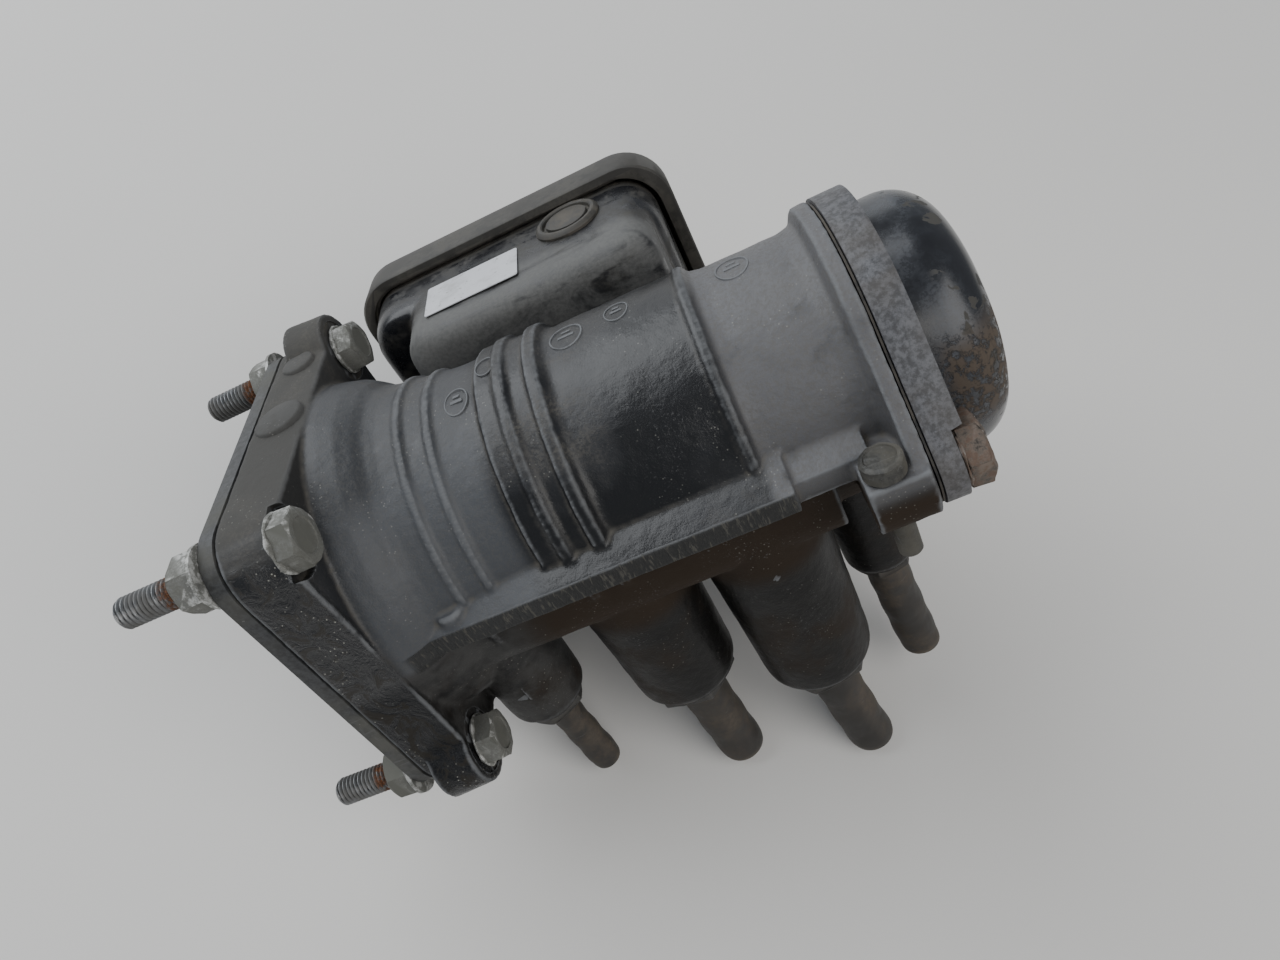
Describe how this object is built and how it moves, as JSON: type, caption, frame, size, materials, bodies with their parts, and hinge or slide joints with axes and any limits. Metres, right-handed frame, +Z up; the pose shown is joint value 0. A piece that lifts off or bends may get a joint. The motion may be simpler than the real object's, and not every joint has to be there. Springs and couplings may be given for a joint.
{
  "type": "electro-pneumatic foot brake valve",
  "caption": "Black cast lorry foot brake valve with a square mounting flange, studs, electronics box, domed end and air pipe stubs.",
  "frame": {"origin": "middle of the bounding box in X and Y, at the surface the valve lies on", "axes": "+Z up; +X along the long side of the bounding box, towards the domed end, which is 19 degrees above the surface; +Y away from the side the ports lean to"},
  "size_m": [0.2272, 0.1838, 0.1584],
  "materials": {
    "cast_black": "die-cast aluminium under a black coat, dusty and worn",
    "pressed_black": "glossy black coated pressing, flaking at the shoulder",
    "zinc_steel": "zinc plated, dull",
    "worn_steel": "dull plated steel with grime",
    "rusty_steel": "black steel with brown rust",
    "black_rubber": "matt rubber",
    "brass": "turned brass",
    "pipe_plastic": "matt black polyamide",
    "turned_aluminium": "turned",
    "spring_steel": "oiled",
    "box_plastic": "dark moulded plastic, dusty",
    "board_green": "solder resist",
    "label_film": "blank white film"
  },
  "bodies": {
    "body": {"valve_body": "cast_black", "mounting_plate": "cast_black", "flange_bolt_a": "zinc_steel", "flange_nut_a": "worn_steel", "flange_bolt_b": "zinc_steel", "flange_nut_b": "worn_steel", "flange_bolt_c": "zinc_steel", "flange_nut_c": "worn_steel", "flange_bolt_d": "zinc_steel", "flange_nut_d": "worn_steel", "end_flange_bolt_1": "rusty_steel", "end_flange_bolt_2": "rusty_steel", "lug_screw": "worn_steel", "end_flange": "cast_black", "dome_cap": "pressed_black", "end_gasket": "black_rubber", "port_fitting_1": "brass", "pipe_stub_1": "pipe_plastic", "port_fitting_2": "brass", "pipe_stub_2": "pipe_plastic", "port_fitting_3": "brass", "pipe_stub_3": "pipe_plastic", "port_fitting_4": "brass", "pipe_stub_4": "pipe_plastic", "plunger_bush": "brass", "dust_boot": "black_rubber", "graduating_spring": "spring_steel", "primary_return_spring": "spring_steel", "primary_valve_spring": "spring_steel", "relay_return_spring": "spring_steel", "valve_carrier": "turned_aluminium", "secondary_valve_spring": "spring_steel", "retaining_ring": "spring_steel", "sensor_housing": "box_plastic", "housing_lid": "box_plastic", "lid_seal": "black_rubber", "circuit_board": "board_green", "board_screw_1": "zinc_steel", "board_screw_2": "zinc_steel", "board_screw_3": "zinc_steel", "board_screw_4": "zinc_steel", "housing_screw_1": "zinc_steel", "housing_screw_2": "zinc_steel", "housing_screw_3": "zinc_steel", "housing_screw_4": "zinc_steel", "vent_plug": "box_plastic", "rating_label": "label_film", "connector_socket": "pipe_plastic"},
    "plunger": {"plunger": "turned_aluminium"},
    "primary_piston": {"primary_piston": "turned_aluminium", "primary_piston_seal": "black_rubber"},
    "primary_valve": {"primary_inlet_valve": "black_rubber"},
    "relay_piston": {"relay_piston": "turned_aluminium", "relay_piston_seal": "black_rubber"},
    "secondary_valve": {"secondary_inlet_valve": "black_rubber"}
  },
  "joints": [
    {"name": "plunger_press", "type": "slide", "parent": "body", "child": "plunger", "axis": [0.9455, 0, 0.3256], "range_m": [0, 0.012], "stiffness_N_per_m": 2000, "springref_m": -0.004, "deforming": ["dust_boot", "graduating_spring"]},
    {"name": "primary_piston_slide", "type": "slide", "parent": "body", "child": "primary_piston", "axis": [0.9455, 0, 0.3256], "range_m": [0, 0.003], "deforming": ["graduating_spring", "primary_return_spring"]},
    {"name": "primary_valve_lift", "type": "slide", "parent": "body", "child": "primary_valve", "axis": [0.9455, 0, 0.3256], "range_m": [0, 0.002], "deforming": ["primary_valve_spring"]},
    {"name": "relay_piston_slide", "type": "slide", "parent": "body", "child": "relay_piston", "axis": [0.9455, 0, 0.3256], "range_m": [0, 0.0024], "deforming": ["primary_valve_spring", "relay_return_spring"]},
    {"name": "secondary_valve_lift", "type": "slide", "parent": "body", "child": "secondary_valve", "axis": [0.9455, 0, 0.3256], "range_m": [0, 0.0016], "deforming": ["secondary_valve_spring"]}
  ],
  "couplings": [
    {"joint": "primary_piston_slide", "follows": "plunger_press", "ratio": 0.25},
    {"joint": "primary_valve_lift", "follows": "plunger_press", "ratio": 0.16667},
    {"joint": "relay_piston_slide", "follows": "plunger_press", "ratio": 0.2},
    {"joint": "secondary_valve_lift", "follows": "plunger_press", "ratio": 0.13333}
  ]
}
